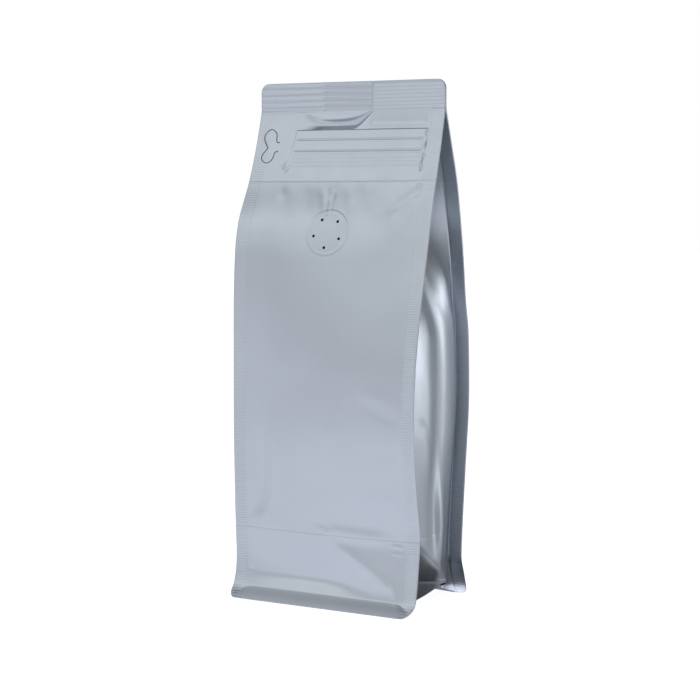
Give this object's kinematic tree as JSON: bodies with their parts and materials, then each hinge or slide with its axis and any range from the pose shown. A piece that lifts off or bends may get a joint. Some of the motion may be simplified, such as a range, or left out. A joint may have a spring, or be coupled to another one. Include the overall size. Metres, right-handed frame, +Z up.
{
  "type": "flat-bottom pouch",
  "caption": "Flat-bottom side-gusset pouch of matte metallised film with corner fins, ribbed top seal, press-to-close zip, tear tab and one-way valve.",
  "frame": {"origin": "middle of the pouch's footprint, on the surface it stands on", "axes": "+Z up towards the top seal, -Y out of the front panel that holds the zip and the valve, +X to the right as the front is seen"},
  "size_m": [0.11, 0.0732, 0.273],
  "materials": {
    "film": "satin metallised laminate",
    "valve_plastic": "moulded, seen through the film as a round relief with pinholes"
  },
  "bodies": {
    "root": {"pouch": "film", "valve": "valve_plastic"}
  },
  "joints": []
}
